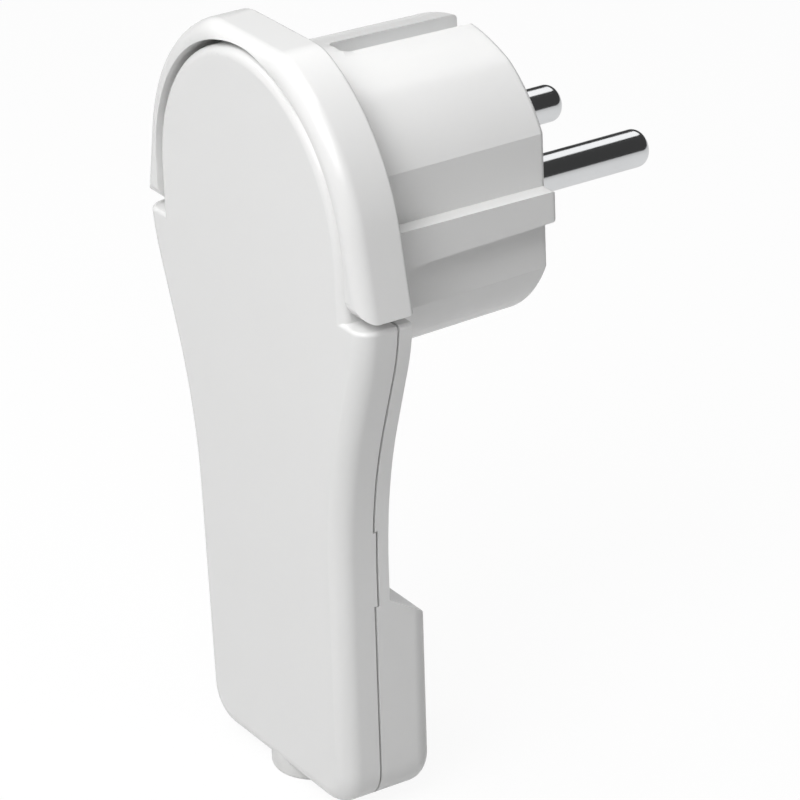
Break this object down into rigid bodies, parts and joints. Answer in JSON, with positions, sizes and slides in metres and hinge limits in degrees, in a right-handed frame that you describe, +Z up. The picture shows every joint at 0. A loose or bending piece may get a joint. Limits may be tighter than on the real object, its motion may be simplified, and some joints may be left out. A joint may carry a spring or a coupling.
{
  "type": "flat electric plug",
  "caption": "Flat two-pin earthed plug with side earth contacts, a raised collar round its flat front disc and a long flat handle that leads the cable downwards.",
  "frame": {"origin": "middle between the two pins, on the pin face", "axes": "+Y along the pins, away from the body; +Z up, away from the cable inlet; +X to the right seen from the cover's side"},
  "size_m": [0.052, 0.0508, 0.0984],
  "materials": {
    "white_plastic": "gloss",
    "nickel": "polished nickel plate",
    "brass": "machined",
    "screw_steel": "zinc plated",
    "inner_plastic": "matt",
    "grommet_plastic": "satin"
  },
  "bodies": {
    "root": {"base_housing": "white_plastic", "front_cover": "white_plastic", "pin_left": "nickel", "pin_right": "nickel", "terminal_block_left": "brass", "terminal_block_right": "brass", "terminal_screws": "screw_steel", "wire_leaf_plates": "nickel", "contact_holder": "inner_plastic", "holder_screws": "screw_steel", "earth_strip": "nickel", "earth_clamp_plate": "nickel", "earth_screw": "screw_steel", "earth_nut": "brass", "cover_screw": "screw_steel", "screw_retaining_washer": "inner_plastic", "cover_insert": "brass", "cord_clamp_bar": "inner_plastic", "cord_clamp_screws": "screw_steel", "cable_grommet": "grommet_plastic", "handle_screws": "screw_steel"}
  },
  "joints": []
}
